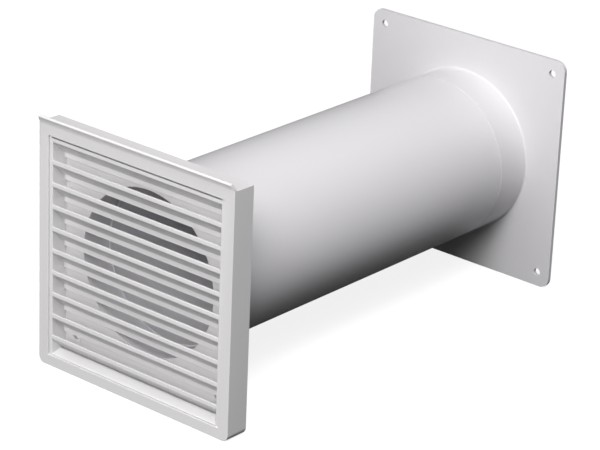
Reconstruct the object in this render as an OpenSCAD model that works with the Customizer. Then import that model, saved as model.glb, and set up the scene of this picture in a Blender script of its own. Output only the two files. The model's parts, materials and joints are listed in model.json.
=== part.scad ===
// Telescopic round wall duct with a louvred outside grille and a square wall plate.
// Sizes are in millimetres. The origin is on the duct's axis, in the rear face of the wall plate,
// which is the mouth of the duct in the room. The grille faces -Y, up is +Z and right is +X.

/* [Duct] */
// Length from the grille's front face to the wall plate's rear face, pushed together
closed_length = 312.5; // [230:0.5:420]
// Inside diameter of the inner tube
duct_bore = 100.4; // [90:0.2:106]
// Wall thickness of both tubes
tube_wall = 1.5; // [1:0.1:2]
// Gap between the inner and the outer tube, on the radius
slide_gap = 0.3; // [0.2:0.05:0.5]
// Distance from the grille's front face to the inner tube's front end
inner_tube_setback = 33.3; // [22:0.1:60]
// Gap between the outer tube's end and the wall plate's collar, pushed together
end_gap = 0.3; // [0.2:0.1:2]

/* [Grille housing] */
// Width of the housing
grille_width = 154; // [150:0.5:180]
// Height of the housing's front, without the rain lip
grille_height = 155; // [150:0.5:180]
// How far the middle of the housing lies below the duct's axis
grille_drop = 0.8; // [0:0.1:2]
// Depth of the housing
grille_depth = 16; // [15.2:0.1:22]
// Radius of the two lower corners
grille_corner_radius = 4.5; // [3:0.1:7]
// Width of the front border at the sides
border_side = 7.4; // [6:0.1:9]
// Width of the front border above the recess
border_top = 6.8; // [5.6:0.1:8]
// Width of the front border below the recess
border_bottom = 7; // [5.6:0.1:9]
// Chamfer round the front face
front_chamfer = 0.8; // [0.3:0.1:1.4]
// Thickness of the moulded walls
housing_wall = 1.8; // [1.2:0.1:2.2]
// Depth of the recess, from the front face to the back plate
recess_depth = 12.4; // [11.4:0.1:12.8]
// Thickness of the back plate
back_plate_thickness = 2; // [1.4:0.1:2.2]
// Length of the socket that holds the outer tube, behind the back plate
socket_length = 18; // [10:0.5:20]
// Thickness of the socket's wall
socket_wall = 2; // [1.4:0.1:2.6]

/* [Grille screw holes] */
// Distance from the recess's walls to the middle of the screw holes
grille_screw_edge = 12.1; // [8:0.1:16]
// Diameter of the screw holes in the back plate
grille_screw_hole = 4.5; // [3.5:0.1:5.5]
// Diameter of the raised rim round each screw hole
grille_screw_rim = 8; // [7:0.1:9]
// Height of that rim above the back plate
grille_screw_rim_height = 0.6; // [0.3:0.1:1]

/* [Rain lip] */
// Length of the lip along its slope
lip_length = 4.8; // [3:0.1:8]
// Thickness of the lip
lip_thickness = 1.95; // [1.4:0.05:2.4]
// Lean of the lip towards the front, in degrees from upright
lip_lean = 31.4; // [10:0.1:40]
// How far each end of the lip slopes in towards its tip
lip_end_taper = 1.3; // [0.5:0.1:3]

/* [Louvre insert] */
// Gap over the top of the insert, and at its sides between the clips
insert_gap = 0.3; // [0.2:0.05:0.6]
// How far the insert's face lies behind the housing's face
insert_setback = 0.8; // [0.4:0.1:1]
// Width of the insert's side frames
insert_frame = 2.6; // [2:0.1:3.6]
// Height of the insert's top frame
insert_top = 3.3; // [2.4:0.1:4.4]
// Number of louvres between the top frame and the sill
louvre_count = 9; // [6:1:10]
// Height of the lowest louvre's lower edge above the floor of the recess
lowest_louvre = 10.8; // [9.6:0.1:12.4]
// Height of the upright lip along each louvre's front edge
louvre_lip = 2.6; // [1.6:0.1:3.2]
// Depth from the louvre's face to the front of its rear lip
louvre_run = 10; // [9:0.1:10]
// Slope of the louvres, in degrees below level towards the rear
louvre_slope = 41.5; // [30:0.5:44]
// Height of the upright lip along each louvre's rear edge
rear_lip = 3.3; // [1.6:0.1:3.4]
// Thickness of the louvres
louvre_thickness = 1.1; // [0.9:0.05:1.2]
// Thickness of the sill at the front
sill_front = 0.75; // [0.6:0.05:1.2]
// Rise of the sill from front to rear
sill_rise = 2.35; // [1.2:0.05:2.6]
// Depth of the sill
sill_depth = 7.1; // [5:0.1:7.4]
// Height of the clips on the insert's sides
clip_height = 14; // [8:0.5:20]

/* [Wall plate] */
// Width of the plate
plate_width = 156; // [150:0.5:190]
// Height of the plate
plate_height = 156; // [150:0.5:190]
// Thickness of the plate
plate_thickness = 2.5; // [1.6:0.1:4]
// Radius of the plate's corners
plate_corner_radius = 7; // [3:0.1:10]
// Distance from the plate's edges to the middle of its screw holes
plate_screw_edge = 9.5; // [7:0.1:12]
// Diameter of the plate's screw holes
plate_screw_hole = 5; // [4:0.1:6]
// Length of the collar in front of the plate
collar_length = 26.2; // [14:0.1:40]
// Rounding where the collar meets the plate
collar_foot = 1.2; // [0.4:0.1:2]
// Chamfer on the collar's front edge
collar_chamfer = 0.5; // [0.2:0.1:1]

/* [Hidden] */

white = [0.89, 0.88, 0.895];
tube_white = [0.87, 0.865, 0.885];

round_fn = 128;
small_fn = 32;

// Radii of the two tubes, one inside the other
inner_r = duct_bore / 2;
inner_outside_r = inner_r + tube_wall;
outer_inside_r = inner_outside_r + slide_gap;
outer_r = outer_inside_r + tube_wall;

// Places along the duct
front_y = -closed_length;
face_y = front_y + insert_setback;
back_plate_y = front_y + recess_depth;
back_plate_rear_y = back_plate_y + back_plate_thickness;
socket_end_y = back_plate_rear_y + socket_length;
plate_y = -plate_thickness;
collar_y = plate_y - collar_length;

// Edges of the housing and of its recess
top_z = grille_height / 2 - grille_drop;
bottom_z = -grille_height / 2 - grille_drop;
half_width = grille_width / 2;
recess_half = half_width - border_side;
recess_top = top_z - border_top;
recess_bottom = bottom_z + border_bottom;

// The insert fits the recess: it stands on the floor and leaves a gap over its top
insert_half = recess_half - insert_gap;
insert_top_z = recess_top - insert_gap;
opening_half = insert_half - insert_frame;
opening_top = insert_top_z - insert_top;
louvre_pitch = (opening_top - recess_bottom - lowest_louvre) / louvre_count;
louvre_rise = louvre_thickness / cos(louvre_slope);
louvre_rear = louvre_run + louvre_thickness;

// Runs a front-view outline from one place along Y to another
module along_y(from, to) {
  translate([0, to, 0]) rotate([90, 0, 0]) linear_extrude(height = to - from) children();
}

// Runs a side-view outline, drawn as [y, z], across the given width
module across_x(width) {
  rotate([90, 0, 90]) translate([0, 0, -width / 2]) linear_extrude(height = width) children();
}

// A round bar along Y
module bar_y(r, from, to, facets) {
  translate([0, from, 0]) rotate([-90, 0, 0]) cylinder(h = to - from, r = r, $fn = facets);
}

// A plain tube along Y
module tube_y(outside, inside, from, to) {
  difference() {
    bar_y(outside, from, to, round_fn);
    bar_y(inside, from - 1, to + 1, round_fn);
  }
}

// Round bars at the four corners of a screw pattern
module screw_bars(half_across, low, high, r, from, to) {
  for (x = [-half_across, half_across], z = [low, high])
    translate([x, 0, z]) bar_y(r, from, to, small_fn);
}

// The housing's outline: square upper corners, rounded lower ones
module housing_outline(inset) {
  r = grille_corner_radius - inset;
  w = half_width - inset;
  low = bottom_z + inset;
  high = top_z - inset;
  union() {
    translate([-w, low + r]) square([2 * w, high - low - r]);
    translate([-(w - r), low]) square([2 * (w - r), r]);
    for (s = [-1, 1]) translate([s * (w - r), low + r]) circle(r = r, $fn = small_fn);
  }
}

// The recess, grown outwards by the given amount
module recess_outline(grow) {
  translate([-recess_half - grow, recess_bottom - grow])
    square([2 * (recess_half + grow), recess_top - recess_bottom + 2 * grow]);
}

// Round bars at the housing's screw holes
module grille_screw_bars(r, from, to) {
  screw_bars(recess_half - grille_screw_edge, recess_bottom + grille_screw_edge,
             recess_top - grille_screw_edge, r, from, to);
}

module housing_block() {
  hull() {
    along_y(front_y, front_y + 0.05) housing_outline(front_chamfer);
    along_y(front_y + front_chamfer, front_y + grille_depth) housing_outline(0);
  }
}

// The lip leans forward from the top front edge, and its ends slope in
module rain_lip() {
  tip_y = front_y - lip_length * sin(lip_lean);
  tip_z = top_z + lip_length * cos(lip_lean);
  nose_y = tip_y + lip_thickness * cos(lip_lean);
  nose_z = tip_z + lip_thickness * sin(lip_lean);
  nose = lip_thickness / 4;
  foot_y = nose_y + (nose_z - top_z) * tan(lip_lean);
  intersection() {
    across_x(grille_width) polygon([
      [front_y, top_z],
      [tip_y + nose * sin(lip_lean), tip_z - nose * cos(lip_lean)],
      [tip_y + nose * cos(lip_lean), tip_z + nose * sin(lip_lean)],
      [nose_y - nose * cos(lip_lean), nose_z - nose * sin(lip_lean)],
      [nose_y + nose * sin(lip_lean), nose_z - nose * cos(lip_lean)],
      [foot_y - 0.6 * sin(lip_lean), top_z + 0.6 * cos(lip_lean)],
      [foot_y + 0.6, top_z],
      [foot_y + 0.6, top_z - housing_wall],
      [front_y, top_z - housing_wall]
    ]);
    along_y(tip_y - 1, foot_y + 1) polygon([
      [-half_width, top_z - 5],
      [half_width, top_z - 5],
      [half_width, top_z],
      [half_width - lip_end_taper, nose_z],
      [-half_width + lip_end_taper, nose_z],
      [-half_width, top_z]
    ]);
  }
}

module grille_housing() {
  color(white) difference() {
    union() {
      difference() {
        housing_block();
        // recess for the insert, open to the front
        along_y(front_y - 1, back_plate_y) recess_outline(0);
        // the border is hollow and open to the rear
        along_y(front_y + housing_wall, front_y + grille_depth + 1) difference() {
          housing_outline(housing_wall);
          recess_outline(housing_wall);
        }
        along_y(back_plate_rear_y, front_y + grille_depth + 1) recess_outline(housing_wall + 0.1);
      }
      rain_lip();
      bar_y(outer_r + socket_wall, back_plate_y + 0.5, socket_end_y, round_fn);
      grille_screw_bars(grille_screw_rim / 2, back_plate_y - grille_screw_rim_height,
                        back_plate_y + 0.5);
    }
    // the duct's way through, and the seat of the outer tube behind the plate
    bar_y(outer_inside_r, back_plate_y - 1, socket_end_y + 1, round_fn);
    bar_y(outer_r, back_plate_rear_y, socket_end_y + 1, round_fn);
    grille_screw_bars(grille_screw_hole / 2, back_plate_y - 2, back_plate_rear_y + 1);
  }
}

// Side view of one louvre whose lower front edge is at z, with a front lip of the given height
module louvre_section(z, lip) {
  face = face_y;
  t = louvre_thickness;
  slope = tan(louvre_slope);
  polygon([
    [face, z + lip],
    [face, z],
    [face + louvre_run, z - louvre_run * slope],
    [face + louvre_run, z - louvre_run * slope - rear_lip],
    [face + louvre_rear, z - louvre_run * slope - rear_lip],
    [face + louvre_rear, z - louvre_rear * slope + louvre_rise],
    [face + t, z - t * slope + louvre_rise],
    [face + t, z + lip]
  ]);
}

module louvre_insert() {
  color(white) union() {
    // louvres, cut off level with the insert's foot
    intersection() {
      across_x(2 * insert_half - 1) union() {
        louvre_section(opening_top, insert_top);
        for (k = [1 : louvre_count]) louvre_section(opening_top - k * louvre_pitch, louvre_lip);
      }
      translate([-insert_half, face_y - 1, recess_bottom])
        cube([2 * insert_half, recess_depth + 2, insert_top_z - recess_bottom]);
    }
    // side frames, back to the housing's back plate
    for (s = [-1, 1]) translate([s > 0 ? opening_half : -insert_half, face_y, recess_bottom])
      cube([insert_frame, back_plate_y - face_y, insert_top_z - recess_bottom]);
    // top frame
    translate([-insert_half, face_y, insert_top_z - louvre_thickness])
      cube([2 * insert_half, back_plate_y - face_y, louvre_thickness]);
    // sill
    across_x(2 * insert_half - 1) polygon([
      [face_y, recess_bottom],
      [face_y + sill_depth, recess_bottom],
      [face_y + sill_depth, recess_bottom + sill_front + sill_rise],
      [face_y, recess_bottom + sill_front]
    ]);
    // clips that bear on the recess's side walls
    for (s = [-1, 1], z = [0.25, 0.75])
      translate([s > 0 ? insert_half - 0.2 : -recess_half, back_plate_y - 4.5,
                 recess_bottom + z * (insert_top_z - recess_bottom) - clip_height / 2])
        cube([insert_gap + 0.2, 2.5, clip_height]);
  }
}

module outer_tube() {
  color(tube_white) tube_y(outer_r, outer_inside_r, back_plate_rear_y, collar_y - end_gap);
}

module inner_tube() {
  color(tube_white) tube_y(inner_outside_r, inner_r, front_y + inner_tube_setback, 0);
}

module wall_plate() {
  r = plate_corner_radius;
  color(white) difference() {
    union() {
      along_y(plate_y, 0) union() {
        square([plate_width - 2 * r, plate_height], center = true);
        square([plate_width, plate_height - 2 * r], center = true);
        for (sx = [-1, 1], sz = [-1, 1])
          translate([sx * (plate_width / 2 - r), sz * (plate_height / 2 - r)])
            circle(r = r, $fn = small_fn);
      }
      // collar, flush with the outer tube, with its rounded foot
      rotate([-90, 0, 0]) rotate_extrude($fn = round_fn) polygon([
        [inner_outside_r - 1, collar_y],
        [outer_r - collar_chamfer, collar_y],
        [outer_r, collar_y + collar_chamfer],
        [outer_r, plate_y - collar_foot],
        [outer_r + collar_foot * 0.3, plate_y - collar_foot * 0.3],
        [outer_r + collar_foot, plate_y],
        [outer_r + collar_foot, plate_y + 0.5],
        [inner_outside_r - 1, plate_y + 0.5]
      ]);
    }
    bar_y(inner_outside_r, collar_y - 1, 1, round_fn);
    screw_bars(plate_width / 2 - plate_screw_edge, -plate_height / 2 + plate_screw_edge,
               plate_height / 2 - plate_screw_edge, plate_screw_hole / 2, plate_y - 1, 1);
  }
}

grille_housing();
louvre_insert();
outer_tube();
inner_tube();
wall_plate();
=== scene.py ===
import json
import math

import bmesh
import bpy
from bpy.props import FloatProperty, FloatVectorProperty, IntProperty, PointerProperty
from mathutils import Matrix, Vector

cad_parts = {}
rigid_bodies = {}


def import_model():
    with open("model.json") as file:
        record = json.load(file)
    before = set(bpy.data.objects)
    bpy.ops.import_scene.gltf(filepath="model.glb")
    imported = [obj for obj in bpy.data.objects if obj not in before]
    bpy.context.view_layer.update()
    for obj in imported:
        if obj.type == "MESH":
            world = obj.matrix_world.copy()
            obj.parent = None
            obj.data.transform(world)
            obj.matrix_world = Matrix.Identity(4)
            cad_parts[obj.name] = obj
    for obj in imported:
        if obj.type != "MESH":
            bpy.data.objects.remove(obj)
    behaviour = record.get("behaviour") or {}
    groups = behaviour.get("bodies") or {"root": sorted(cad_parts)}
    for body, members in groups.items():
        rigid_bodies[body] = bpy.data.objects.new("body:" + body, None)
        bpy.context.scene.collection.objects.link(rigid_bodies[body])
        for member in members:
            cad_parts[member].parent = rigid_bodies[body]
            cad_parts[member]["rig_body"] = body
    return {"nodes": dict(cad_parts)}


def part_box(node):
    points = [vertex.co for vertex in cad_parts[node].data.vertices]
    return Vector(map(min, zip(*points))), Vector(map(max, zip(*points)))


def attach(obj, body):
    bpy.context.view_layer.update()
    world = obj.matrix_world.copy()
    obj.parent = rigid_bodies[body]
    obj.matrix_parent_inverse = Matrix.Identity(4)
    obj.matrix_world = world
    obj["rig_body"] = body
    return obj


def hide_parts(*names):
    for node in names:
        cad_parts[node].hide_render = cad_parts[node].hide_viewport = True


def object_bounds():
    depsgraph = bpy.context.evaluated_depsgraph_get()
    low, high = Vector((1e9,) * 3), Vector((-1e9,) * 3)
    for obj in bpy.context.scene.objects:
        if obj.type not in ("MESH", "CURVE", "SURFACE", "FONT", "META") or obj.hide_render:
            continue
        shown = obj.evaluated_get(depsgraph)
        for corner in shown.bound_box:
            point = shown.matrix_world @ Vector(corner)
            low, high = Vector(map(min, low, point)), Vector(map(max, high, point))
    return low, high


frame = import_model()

bl_info = {
    "name": "Telescopic Wall Duct",
    "version": (1, 0, 0),
    "blender": (4, 5, 0),
    "location": "3D View > Sidebar > Wall Duct",
    "description": "Builds the dressed pieces of a telescopic wall duct and its studio",
    "category": "Add Mesh",
}

MM = 0.001
LOADED_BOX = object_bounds()
BOX = {name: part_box(name) for name in frame["nodes"]}


# Sizes and colours


def length(name, description, millimetres):
    """A length property whose default is given in millimetres."""
    return FloatProperty(name=name, description=description, default=millimetres * MM,
                         min=0.0, unit="LENGTH", subtype="DISTANCE")


def colour(name, description, value):
    """A colour property."""
    return FloatVectorProperty(name=name, description=description, default=value,
                               subtype="COLOR", size=3, min=0.0, max=1.0)


class DuctHousingSizes(bpy.types.PropertyGroup):
    """Sizes of the grille housing."""
    setback: length("Insert setback", "From the housing's face to the insert's face", 0.8)
    depth: length("Depth", "Depth of the square housing", 16)
    border_side: length("Side border", "Width of the border at the sides", 7.4)
    border_top: length("Top border", "Width of the border above the recess", 6.8)
    border_bottom: length("Bottom border", "Width of the border below the recess", 7.0)
    wall: length("Wall", "Thickness of the moulded walls", 1.8)
    plate: length("Back plate", "Thickness of the back plate", 2.0)
    corner: length("Lower corners", "Radius of the two lower corners", 4.5)
    edge: length("Edge", "Rounding of the outer edges", 0.9)
    lip_length: length("Lip length", "Length of the rain lip along its slope", 4.8)
    lip_thickness: length("Lip thickness", "Thickness of the rain lip", 1.95)
    lip_taper: length("Lip taper", "How far the lip's ends slope in", 1.3)
    lip_lean: FloatProperty(name="Lip lean", description="Lean of the lip towards the front",
                            default=math.radians(31.4), subtype="ANGLE")
    screw_edge: length("Screw inset", "From the recess's walls to the screw holes", 12.1)
    screw_hole: length("Screw hole", "Diameter of the screw holes", 4.5)
    screw_rim: length("Screw rim", "Diameter of the rim round a screw hole", 8.0)
    rim_height: length("Rim height", "Height of that rim", 0.6)
    socket_wall: length("Socket wall", "Thickness of the socket's wall", 2.0)


class DuctLouvreSizes(bpy.types.PropertyGroup):
    """Sizes of the louvre insert."""
    frame: length("Side frame", "Width of the side frames", 2.6)
    top: length("Top frame", "Height of the top frame", 3.3)
    gap: length("Gap", "Gap between the insert and the recess", 0.3)
    count: IntProperty(name="Louvres", description="Louvres below the top frame", default=9, min=1)
    lowest: length("Lowest louvre", "From the recess's floor to the lowest louvre", 10.8)
    lip: length("Front lip", "Height of the lip along a louvre's front edge", 2.6)
    run: length("Run", "Depth from the face to the rear lip", 10.0)
    slope: FloatProperty(name="Slope", description="Slope of the louvres below level",
                         default=math.radians(41.5), subtype="ANGLE")
    rear_lip: length("Rear lip", "Height of the lip along a louvre's rear edge", 3.3)
    thickness: length("Thickness", "Thickness of the louvres", 1.1)
    sill_front: length("Sill front", "Thickness of the sill at the front", 0.75)
    sill_rise: length("Sill rise", "Rise of the sill to the rear", 2.35)
    sill_depth: length("Sill depth", "Depth of the sill", 7.1)
    edge: length("Edge", "Rounding of the louvres' edges", 0.28)


class DuctTubeSizes(bpy.types.PropertyGroup):
    """Sizes of the two tubes."""
    wall: length("Wall", "Wall thickness of the tubes", 1.5)
    edge: length("Edge", "Rounding of the tubes' cut ends", 0.25)
    sides: IntProperty(name="Sides", description="Facets round a tube", default=192, min=24)


class DuctPlateSizes(bpy.types.PropertyGroup):
    """Sizes of the wall plate."""
    thickness: length("Thickness", "Thickness of the plate", 2.5)
    corner: length("Corners", "Radius of the plate's corners", 7.0)
    screw_edge: length("Screw inset", "From the plate's edges to the screw holes", 9.5)
    screw_hole: length("Screw hole", "Diameter of the screw holes", 5.0)
    collar_foot: length("Collar foot", "Rounding where the collar meets the plate", 1.2)
    collar_chamfer: length("Collar edge", "Chamfer on the collar's front edge", 0.5)
    edge: length("Edge", "Rounding of the plate's edges", 0.45)


class DuctFinish(bpy.types.PropertyGroup):
    """Colours and gloss of the plastics."""
    grille: colour("Grille", "Colour of the grille housing", (0.79, 0.775, 0.785))
    louvre: colour("Louvres", "Colour of the louvre insert", (0.80, 0.79, 0.795))
    tube: colour("Tubes", "Colour of the tubes", (0.80, 0.785, 0.81))
    plate: colour("Plate", "Colour of the wall plate", (0.77, 0.755, 0.775))
    roughness: FloatProperty(name="Roughness", description="Roughness of the moulded pieces",
                             default=0.42, min=0.0, max=1.0, subtype="FACTOR")


class DuctStage(bpy.types.PropertyGroup):
    """Camera and lights of the studio."""
    lens: FloatProperty(name="Lens", description="Focal length in millimetres",
                        default=162.26, min=1.0)
    key: FloatProperty(name="Key light", description="Power of the soft light in front",
                       default=17.5, min=0.0, unit="POWER")
    overhead: FloatProperty(name="Overhead light", description="Power of the light overhead",
                            default=13.0, min=0.0, unit="POWER")
    low: FloatProperty(name="Low light", description="Power of the low light in front",
                       default=9.4, min=0.0, unit="POWER")
    world: FloatProperty(name="World", description="Strength of the even light all round",
                         default=0.12, min=0.0)
    bounce: FloatProperty(name="Floor bounce", description="How much light the floor gives back",
                          default=0.06, min=0.0, max=1.0, subtype="FACTOR")


# Small tools for working by hand


def lay_aside():
    """Leaves edit mode and deselects everything."""
    if bpy.context.object and bpy.context.object.mode != "OBJECT":
        bpy.ops.object.mode_set(mode="OBJECT")
    bpy.ops.object.select_all(action="DESELECT")


def hold(*objects):
    """Selects these objects alone, the first one active."""
    lay_aside()
    for obj in objects:
        obj.select_set(True)
    bpy.context.view_layer.objects.active = objects[0]
    return objects[0]


def settle(name):
    """Names the active object and puts its place into its mesh."""
    obj = bpy.context.object
    obj.name = obj.data.name = name
    bpy.ops.object.transform_apply(location=True, rotation=True, scale=True)
    return obj


def block(name, low, high):
    """A box between two corners."""
    lay_aside()
    low, high = Vector(low), Vector(high)
    bpy.ops.mesh.primitive_cube_add(size=1, location=(low + high) / 2)
    bpy.context.object.scale = high - low
    return settle(name)


def bar(name, radius, from_y, to_y, x=0.0, z=0.0, sides=192, ends="NGON"):
    """A round bar along Y."""
    lay_aside()
    bpy.ops.mesh.primitive_cylinder_add(
        vertices=sides, radius=radius, depth=to_y - from_y, end_fill_type=ends,
        location=(x, (from_y + to_y) / 2, z), rotation=(math.pi / 2, 0, 0))
    return settle(name)


def open_up(obj, kind):
    """Goes into edit mode on one object with nothing selected."""
    hold(obj)
    bpy.ops.object.mode_set(mode="EDIT")
    bpy.ops.mesh.select_mode(type=kind)
    bpy.ops.mesh.select_all(action="DESELECT")
    return bmesh.from_edit_mesh(obj.data)


def pick_faces(obj, test):
    """Selects the faces whose middle and normal pass a test."""
    mesh = open_up(obj, "FACE")
    for face in mesh.faces:
        face.select_set(bool(test(face.calc_center_median(), face.normal)))
    bmesh.update_edit_mesh(obj.data)


def pick_edges(obj, test):
    """Selects the edges whose two ends pass a test."""
    mesh = open_up(obj, "EDGE")
    for edge in mesh.edges:
        edge.select_set(bool(test(edge.verts[0].co, edge.verts[1].co)))
    bmesh.update_edit_mesh(obj.data)


def pick_points(obj, test):
    """Selects the points that pass a test."""
    mesh = open_up(obj, "VERT")
    for point in mesh.verts:
        point.select_set(bool(test(point.co)))
    mesh.select_flush_mode()
    bmesh.update_edit_mesh(obj.data)


def pull(offset):
    """Extrudes what is selected by an offset."""
    bpy.ops.mesh.extrude_region_move(TRANSFORM_OT_translate={"value": offset})


def shift(offset):
    """Moves what is selected."""
    bpy.ops.transform.translate(value=offset)


def near(a, b, reach=0.02 * MM):
    """Whether two lengths are the same, to a fiftieth of a millimetre."""
    return abs(a - b) < reach


def apply(obj, kind, **settings):
    """Adds a modifier and applies it."""
    hold(obj)
    modifier = obj.modifiers.new(kind.title(), kind)
    for key, value in settings.items():
        setattr(modifier, key, value)
    bpy.ops.object.modifier_apply(modifier=modifier.name)
    return obj


def carve(obj, *tools, operation="DIFFERENCE"):
    """Cuts the tools out of a piece, or fuses them to it, and clears them away."""
    for tool in tools:
        apply(obj, "BOOLEAN", operation=operation, solver="EXACT", object=tool)
        bpy.data.objects.remove(tool)
    return obj


def fuse(obj, *others):
    """Joins other objects to a piece as one solid."""
    return carve(obj, *others, operation="UNION")


def tidy_faces(obj):
    """Dissolves edges between faces that lie flat to each other."""
    hold(obj)
    bpy.ops.object.mode_set(mode="EDIT")
    bpy.ops.mesh.select_all(action="SELECT")
    bpy.ops.mesh.remove_doubles(threshold=0.002 * MM)
    bpy.ops.mesh.dissolve_limited(angle_limit=math.radians(0.5))
    bpy.ops.object.mode_set(mode="OBJECT")


def soften(obj, width, segments=3, angle=35):
    """Rounds the sharp edges and shades the roundings smoothly, with the flats kept flat."""
    apply(obj, "BEVEL", width=width, segments=segments, limit_method="ANGLE",
          angle_limit=math.radians(angle), miter_outer="MITER_ARC", use_clamp_overlap=True)
    hold(obj)
    bpy.ops.object.shade_smooth_by_angle(angle=math.radians(angle))
    apply(obj, "WEIGHTED_NORMAL", mode="FACE_AREA", weight=80, keep_sharp=True)


def finish_piece(obj, body, node, material):
    """Gives a piece its material and its body, and hides the node that it stands for."""
    hold(obj)
    obj.data.materials.clear()
    obj.data.materials.append(material)
    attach(obj, body)
    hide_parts(node)
    lay_aside()


def body_of_node(node):
    """The body that carries a node."""
    return frame["nodes"][node]["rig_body"]


# Finishes


def plastic(name, tint, roughness, grain, streak):
    """White plastic with a faint cloudiness, a fine skin and a soft gloss."""
    material = bpy.data.materials.new(name)
    material.use_nodes = True
    nodes, links = material.node_tree.nodes, material.node_tree.links
    shader = nodes["Principled BSDF"]
    shader.inputs["IOR"].default_value = 1.5
    shader.inputs["Specular IOR Level"].default_value = 0.5
    place = nodes.new("ShaderNodeTexCoord")
    turn = nodes.new("ShaderNodeMapping")
    turn.inputs["Scale"].default_value = (1.0, streak, 1.0)
    links.new(place.outputs["Object"], turn.inputs["Vector"])

    cloud = nodes.new("ShaderNodeTexNoise")
    cloud.inputs["Scale"].default_value = 28.0
    cloud.inputs["Detail"].default_value = 3.0
    links.new(turn.outputs["Vector"], cloud.inputs["Vector"])
    tone = nodes.new("ShaderNodeMix")
    tone.data_type = "RGBA"
    tone.inputs["A"].default_value = (*[c * 0.985 for c in tint], 1.0)
    tone.inputs["B"].default_value = (*[min(1.0, c * 1.012) for c in tint], 1.0)
    links.new(cloud.outputs["Fac"], tone.inputs["Factor"])
    links.new(tone.outputs["Result"], shader.inputs["Base Color"])

    gloss = nodes.new("ShaderNodeMapRange")
    gloss.inputs["To Min"].default_value = roughness - 0.05
    gloss.inputs["To Max"].default_value = roughness + 0.05
    links.new(cloud.outputs["Fac"], gloss.inputs["Value"])
    links.new(gloss.outputs["Result"], shader.inputs["Roughness"])

    skin = nodes.new("ShaderNodeTexNoise")
    skin.inputs["Scale"].default_value = grain
    skin.inputs["Detail"].default_value = 2.0
    links.new(turn.outputs["Vector"], skin.inputs["Vector"])
    bump = nodes.new("ShaderNodeBump")
    bump.inputs["Strength"].default_value = 0.05
    bump.inputs["Distance"].default_value = 0.05 * MM
    links.new(skin.outputs["Fac"], bump.inputs["Height"])
    links.new(bump.outputs["Normal"], shader.inputs["Normal"])
    return material


# Operators


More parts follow.
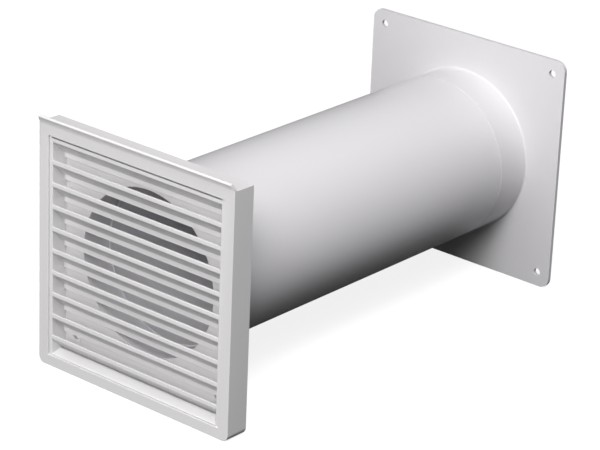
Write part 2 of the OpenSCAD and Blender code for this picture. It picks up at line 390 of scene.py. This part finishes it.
class DUCT_OT_housing(bpy.types.Operator):
    """Square housing with its border, back plate, socket and rain lip"""
    bl_idname = "duct.housing"
    bl_label = "Grille Housing"

    def execute(self, context):
        s = context.scene.duct_housing
        low, high = BOX["louvre_insert"]
        around = BOX["grille_housing"]
        tube_high = BOX["outer_tube"][1]
        half = around[1].x
        front = low.y - s.setback
        rear = front + s.depth
        plate = high.y
        plate_rear = plate + s.plate
        bottom = low.z - s.border_bottom
        recess_top = high.z + context.scene.duct_louvre.gap
        top = recess_top + s.border_top
        recess = half - s.border_side

        body = block("grille_housing_moulding", (-half, front, bottom), (half, rear, top))
        # front: the border is drawn in to the recess and pushed back to the plate
        pick_faces(body, lambda c, n: n.y < -0.9)
        bpy.ops.mesh.inset(thickness=s.border_bottom)
        inner = half - s.border_bottom
        bpy.ops.transform.resize(value=(recess / inner, 1, 1), center_override=(0, front, 0))
        pick_points(body, lambda p: near(p.y, front) and near(abs(p.x), recess) and p.z > 0)
        shift((0, 0, s.border_bottom - s.border_top))
        pick_faces(body, lambda c, n: n.y < -0.9 and abs(c.x) < MM and abs(c.z) < 20 * MM)
        pull((0, plate - front, 0))
        # rear: a rim, then the hollow of the border round the recess
        pick_faces(body, lambda c, n: n.y > 0.9 and near(c.y, rear))
        bpy.ops.mesh.inset(thickness=s.wall)
        pick_faces(body, lambda c, n: n.y > 0.9 and abs(c.x) < MM and abs(c.z) < 20 * MM)
        pull((0, plate_rear - rear, 0))
        pick_faces(body, lambda c, n: n.y > 0.9 and near(c.y, plate_rear))
        bpy.ops.mesh.inset(thickness=s.border_bottom - 2 * s.wall)
        pick_faces(body, lambda c, n: n.y > 0.9 and near(c.y, plate_rear)
                   and (abs(c.x) > MM or abs(c.z) > 20 * MM))
        pull((0, front + s.wall - plate_rear, 0))
        # rounded lower corners
        pick_edges(body, lambda a, b: near(a.z, bottom) and near(b.z, bottom)
                   and near(abs(a.x), half) and near(a.x, b.x))
        bpy.ops.mesh.bevel(offset=s.corner, segments=8, affect="EDGES")
        bpy.ops.object.mode_set(mode="OBJECT")

        # rain lip: a foot in the top wall, drawn up and forward
        lean, long, thick = s.lip_lean, s.lip_length, s.lip_thickness
        tip = Vector((0, front - long * math.sin(lean), top + long * math.cos(lean)))
        nose = tip + thick * Vector((0, math.cos(lean), math.sin(lean)))
        foot = nose.y + (nose.z - top) * math.tan(lean)
        lip = block("rain_lip", (-half, front, top - 1.2 * MM), (half, foot, top))
        pick_faces(lip, lambda c, n: n.z > 0.9)
        pull((0, 0, nose.z - top))
        pick_points(lip, lambda p: near(p.z, nose.z) and near(p.y, front))
        shift((0, tip.y - front, tip.z - nose.z))
        pick_points(lip, lambda p: near(p.z, nose.z) and near(p.y, foot))
        shift((0, nose.y - foot, 0))
        pick_points(lip, lambda p: p.z > tip.z - 0.1 * MM)
        bpy.ops.transform.resize(value=((half - s.lip_taper) / half, 1, 1),
                                 center_override=(0, 0, 0))
        pick_edges(lip, lambda a, b: a.z > tip.z - 0.1 * MM and b.z > tip.z - 0.1 * MM
                   and abs(a.x - b.x) > 10 * MM)
        bpy.ops.mesh.bevel(offset=thick * 0.36, segments=4, affect="EDGES")
        bpy.ops.object.mode_set(mode="OBJECT")
        fuse(body, lip)

        # way through, socket and screw holes
        bore = tube_high.x - context.scene.duct_tube.wall
        carve(body, bar("way", bore, plate - MM, plate_rear + MM))
        socket_end = around[1].y
        socket = bar("socket", tube_high.x + s.socket_wall, plate_rear - 0.6 * MM, socket_end)
        carve(socket, bar("seat", tube_high.x, plate_rear - 2 * MM, socket_end + MM))
        fuse(body, socket)
        across = recess - s.screw_edge
        for x in (-across, across):
            for z in (low.z + s.screw_edge, recess_top - s.screw_edge):
                fuse(body, bar("rim", s.screw_rim / 2, plate - s.rim_height, plate + MM,
                               x, z, 40))
                carve(body, bar("hole", s.screw_hole / 2, plate - 2 * MM, plate_rear + MM,
                                x, z, 40))
        tidy_faces(body)
        soften(body, 0.35 * MM, 2)
        finish = context.scene.duct_finish
        finish_piece(body, body_of_node("grille_housing"), "grille_housing",
                     plastic("grille white", finish.grille, finish.roughness, 900.0, 1.0))
        return {"FINISHED"}


class DUCT_OT_louvres(bpy.types.Operator):
    """Louvre insert with its frame, sloping louvres and sill"""
    bl_idname = "duct.louvres"
    bl_label = "Louvre Insert"

    def louvre(self, s, half, face, z, lip):
        """One louvre: a front lip, a web down to the rear and a rear lip."""
        lay_aside()
        bpy.ops.mesh.primitive_plane_add(size=1, location=(0, face, z + lip / 2),
                                         rotation=(math.pi / 2, 0, 0))
        bpy.context.object.scale = (2 * half, lip, 1)
        blade = settle("louvre")
        drop = s.run * math.tan(s.slope)
        pick_edges(blade, lambda a, b: near(a.z, z) and near(b.z, z))
        pull((0, s.run, -drop))
        pull((0, 0, -s.rear_lip))
        bpy.ops.object.mode_set(mode="OBJECT")
        apply(blade, "SOLIDIFY", thickness=s.thickness, offset=-1, use_even_offset=True)
        return blade

    def execute(self, context):
        s = context.scene.duct_louvre
        low, high = BOX["louvre_insert"]
        half = high.x - s.gap
        face, rear, foot, top = low.y, high.y, low.z, high.z
        opening = half - s.frame
        opening_top = top - s.top
        pitch = (opening_top - foot - s.lowest) / s.count

        # frame: both faces are drawn in and bridged through
        body = block("louvre_insert_moulding", (-half, face, foot), (half, rear, top))
        pick_faces(body, lambda c, n: abs(n.y) > 0.9)
        bpy.ops.mesh.inset(thickness=s.frame, use_individual=True)
        pick_points(body, lambda p: near(abs(p.x), opening) and p.z > 0)
        shift((0, 0, s.frame - s.thickness))
        pick_points(body, lambda p: near(abs(p.x), opening) and p.z < 0)
        shift((0, 0, s.sill_front - s.frame))
        pick_faces(body, lambda c, n: abs(n.y) > 0.9 and abs(c.x) < MM and abs(c.z) < 20 * MM)
        bpy.ops.mesh.bridge_edge_loops()
        bpy.ops.object.mode_set(mode="OBJECT")

        # louvres: the first hangs behind the top frame, the others are copies of one
        inner = opening + 0.5 * MM
        header = self.louvre(s, inner, face, opening_top, s.top - 0.05 * MM)
        first = self.louvre(s, inner, face, opening_top - pitch, s.lip)
        blades = [header, first]
        for step in range(1, s.count):
            hold(first)
            bpy.ops.object.duplicate(linked=False)
            bpy.ops.transform.translate(value=(0, 0, -pitch * step))
            blades.append(settle("louvre"))
        last = blades[-1]
        hold(last)
        bpy.ops.object.mode_set(mode="EDIT")
        bpy.ops.mesh.select_all(action="SELECT")
        bpy.ops.mesh.bisect(plane_co=(0, 0, foot + 0.05 * MM), plane_no=(0, 0, -1),
                            clear_outer=True, use_fill=True)
        bpy.ops.object.mode_set(mode="OBJECT")

        # sill: a bar whose top rises to the rear
        sill = block("sill", (-inner, face, foot),
                     (inner, face + s.sill_depth, foot + s.sill_front + s.sill_rise))
        pick_points(sill, lambda p: near(p.y, face) and p.z > foot + MM)
        shift((0, 0, -s.sill_rise))
        bpy.ops.object.mode_set(mode="OBJECT")

        for part in [*blades, sill]:
            soften(part, s.edge, 3)
        soften(body, 0.3 * MM, 3)
        hold(body, *blades, sill)
        bpy.ops.object.join()
        finish = context.scene.duct_finish
        finish_piece(body, body_of_node("louvre_insert"), "louvre_insert",
                     plastic("louvre white", finish.louvre, finish.roughness, 900.0, 1.0))
        return {"FINISHED"}


class DUCT_OT_tubes(bpy.types.Operator):
    """The outer and the inner tube, each a drawn wall with eased ends"""
    bl_idname = "duct.tubes"
    bl_label = "Tubes"

    def execute(self, context):
        s = context.scene.duct_tube
        finish = context.scene.duct_finish
        material = plastic("tube white", finish.tube, 0.36, 700.0, 0.06)
        for node in ("outer_tube", "inner_tube"):
            low, high = BOX[node]
            tube = bar(node + "_drawn", high.x, low.y, high.y, sides=s.sides, ends="NOTHING")
            apply(tube, "SOLIDIFY", thickness=s.wall, offset=-1, use_even_offset=True)
            soften(tube, s.edge, 3)
            finish_piece(tube, body_of_node(node), node, material)
        return {"FINISHED"}


class DUCT_OT_plate(bpy.types.Operator):
    """Square wall plate with rounded corners, screw holes and a collar"""
    bl_idname = "duct.plate"
    bl_label = "Wall Plate"

    def execute(self, context):
        s = context.scene.duct_plate
        low, high = BOX["wall_plate"]
        collar_r = BOX["outer_tube"][1].x
        bore = BOX["inner_tube"][1].x
        face = high.y - s.thickness
        plate = block("wall_plate_moulding", (low.x, face, low.z), (high.x, high.y, high.z))
        pick_edges(plate, lambda a, b: near(a.x, b.x) and near(a.z, b.z))
        bpy.ops.mesh.bevel(offset=s.corner, segments=10, affect="EDGES")
        bpy.ops.object.mode_set(mode="OBJECT")
        # collar: a bar whose rear edge is flared into a rounded foot
        collar = bar("collar", collar_r, low.y, face - s.collar_foot)
        for step in range(1, 7):
            turn = math.pi / 2 * step / 6
            before = math.pi / 2 * (step - 1) / 6
            edge_y = face - s.collar_foot * (1 - math.sin(before))
            pick_faces(collar, lambda c, n: n.y > 0.9 and c.y > edge_y - 0.05 * MM)
            pull((0, s.collar_foot * (math.sin(turn) - math.sin(before)), 0))
            wide = collar_r + s.collar_foot * (1 - math.cos(turn))
            was = collar_r + s.collar_foot * (1 - math.cos(before))
            bpy.ops.transform.resize(value=(wide / was, 1, wide / was),
                                     center_override=(0, 0, 0))
        pick_faces(collar, lambda c, n: n.y > 0.9 and c.y > face - 0.05 * MM)
        pull((0, 0.8 * MM, 0))
        pick_edges(collar, lambda a, b: near(a.y, low.y) and near(b.y, low.y))
        bpy.ops.mesh.bevel(offset=s.collar_chamfer, segments=3, affect="EDGES")
        bpy.ops.object.mode_set(mode="OBJECT")
        fuse(plate, collar)
        carve(plate, bar("bore", bore, low.y - MM, high.y + MM))
        across, up = high.x - s.screw_edge, high.z - s.screw_edge
        for x in (-across, across):
            for z in (-up, up):
                carve(plate, bar("hole", s.screw_hole / 2, face - MM, high.y + MM, x, z, 40))
        tidy_faces(plate)
        soften(plate, s.edge, 3, 50)
        finish = context.scene.duct_finish
        finish_piece(plate, body_of_node("wall_plate"), "wall_plate",
                     plastic("plate white", finish.plate, finish.roughness, 900.0, 1.0))
        return {"FINISHED"}


class DUCT_OT_stage(bpy.types.Operator):
    """Pale floor, soft studio light and the camera"""
    bl_idname = "duct.stage"
    bl_label = "Studio"

    def soft_light(self, name, azimuth, elevation, size, power):
        """A square soft light 1.7 m from the duct, in degrees from the front and from level."""
        azimuth, elevation = math.radians(azimuth), math.radians(elevation)
        towards = Vector((math.sin(azimuth) * math.cos(elevation),
                          -math.cos(azimuth) * math.cos(elevation), math.sin(elevation)))
        lay_aside()
        bpy.ops.object.light_add(type="AREA", location=Vector((0, -0.16, 0)) + 1.7 * towards)
        lamp = bpy.context.object
        lamp.name = name
        lamp.rotation_euler = towards.to_track_quat("Z", "Y").to_euler()
        lamp.data.shape = "SQUARE"
        lamp.data.size = size
        lamp.data.energy = power

    def execute(self, context):
        s = context.scene.duct_stage
        scene = context.scene
        scene.view_settings.view_transform = "Standard"

        # floor: seen as white with a soft shadow, and dim enough to leave undersides dark
        lay_aside()
        floor_z = LOADED_BOX[0].z
        bpy.ops.mesh.primitive_plane_add(size=14, location=(0, 0, floor_z - 0.05 * MM))
        floor = bpy.context.object
        floor.name = "studio_floor"
        material = bpy.data.materials.new("floor white")
        material.use_nodes = True
        nodes, links = material.node_tree.nodes, material.node_tree.links
        nodes.clear()
        out = nodes.new("ShaderNodeOutputMaterial")
        dim = nodes.new("ShaderNodeBsdfDiffuse")
        dim.inputs["Color"].default_value = (s.bounce, s.bounce, s.bounce, 1)
        shaded = nodes.new("ShaderNodeBsdfDiffuse")
        shaded.inputs["Color"].default_value = (0.35, 0.35, 0.35, 1)
        white = nodes.new("ShaderNodeEmission")
        white.inputs["Strength"].default_value = 0.85
        seen = nodes.new("ShaderNodeAddShader")
        links.new(shaded.outputs["BSDF"], seen.inputs[0])
        links.new(white.outputs["Emission"], seen.inputs[1])
        path = nodes.new("ShaderNodeLightPath")
        mix = nodes.new("ShaderNodeMixShader")
        links.new(path.outputs["Is Camera Ray"], mix.inputs["Fac"])
        links.new(dim.outputs["BSDF"], mix.inputs[1])
        links.new(seen.outputs["Shader"], mix.inputs[2])
        links.new(mix.outputs["Shader"], out.inputs["Surface"])
        floor.data.materials.append(material)

        # even light all round, white where it is seen
        world = bpy.data.worlds.new("studio world")
        scene.world = world
        world.use_nodes = True
        nodes, links = world.node_tree.nodes, world.node_tree.links
        nodes.clear()
        out = nodes.new("ShaderNodeOutputWorld")
        around = nodes.new("ShaderNodeBackground")
        around.inputs["Strength"].default_value = s.world
        white = nodes.new("ShaderNodeBackground")
        white.inputs["Strength"].default_value = 1.0
        path = nodes.new("ShaderNodeLightPath")
        mix = nodes.new("ShaderNodeMixShader")
        links.new(path.outputs["Is Camera Ray"], mix.inputs["Fac"])
        links.new(around.outputs["Background"], mix.inputs[1])
        links.new(white.outputs["Background"], mix.inputs[2])
        links.new(mix.outputs["Shader"], out.inputs["Surface"])

        self.soft_light("key light", 30, 40, 0.7, s.key)
        self.soft_light("overhead light", 65, 65, 0.7, s.overhead)
        self.soft_light("low light", 0, 15, 0.7, s.low)

        # camera
        azimuth, elevation, roll = 0.696757, 0.393497, 0.041196
        back = Vector((math.sin(azimuth) * math.cos(elevation),
                       -math.cos(azimuth) * math.cos(elevation), math.sin(elevation)))
        right = Vector((math.cos(azimuth), math.sin(azimuth), 0))
        up = back.cross(right)
        across = math.cos(roll) * right + math.sin(roll) * up
        upward = -math.sin(roll) * right + math.cos(roll) * up
        bpy.ops.object.camera_add()
        camera = bpy.context.object
        camera.name = "studio_camera"
        camera.matrix_world = Matrix((
            (across.x, upward.x, back.x, 0.99106),
            (across.y, upward.y, back.y, -1.34805),
            (across.z, upward.z, back.z, 0.63202),
            (0, 0, 0, 1)))
        camera.data.lens = s.lens
        camera.data.sensor_width = 36
        camera.data.clip_end = 30
        scene.camera = camera
        lay_aside()
        return {"FINISHED"}


class DUCT_PT_panel(bpy.types.Panel):
    """Lists the duct's pieces and its studio"""
    bl_idname = "DUCT_PT_panel"
    bl_label = "Wall Duct"
    bl_space_type = "VIEW_3D"
    bl_region_type = "UI"
    bl_category = "Wall Duct"

    def draw(self, context):
        for operator in ("duct.housing", "duct.louvres", "duct.tubes", "duct.plate", "duct.stage"):
            self.layout.operator(operator)
        for group in ("duct_housing", "duct_louvre", "duct_tube", "duct_plate", "duct_finish",
                      "duct_stage"):
            box = self.layout.box()
            settings = getattr(context.scene, group)
            for name in settings.bl_rna.properties.keys():
                if name not in ("rna_type", "name"):
                    box.prop(settings, name)


GROUPS = {
    "duct_housing": DuctHousingSizes,
    "duct_louvre": DuctLouvreSizes,
    "duct_tube": DuctTubeSizes,
    "duct_plate": DuctPlateSizes,
    "duct_finish": DuctFinish,
    "duct_stage": DuctStage,
}
TOOLS = (DUCT_OT_housing, DUCT_OT_louvres, DUCT_OT_tubes, DUCT_OT_plate, DUCT_OT_stage,
         DUCT_PT_panel)


def register():
    """Adds the settings, the operators and the panel."""
    for name, group in GROUPS.items():
        bpy.utils.register_class(group)
        setattr(bpy.types.Scene, name, PointerProperty(type=group))
    for tool in TOOLS:
        bpy.utils.register_class(tool)


def unregister():
    """Takes them away again."""
    for tool in reversed(TOOLS):
        bpy.utils.unregister_class(tool)
    for name, group in GROUPS.items():
        delattr(bpy.types.Scene, name)
        bpy.utils.unregister_class(group)


def main():
    """Builds every piece and the studio."""
    register()
    bpy.ops.duct.stage()
    bpy.ops.duct.housing()
    bpy.ops.duct.louvres()
    bpy.ops.duct.tubes()
    bpy.ops.duct.plate()


if __name__ == "__main__":
    main()
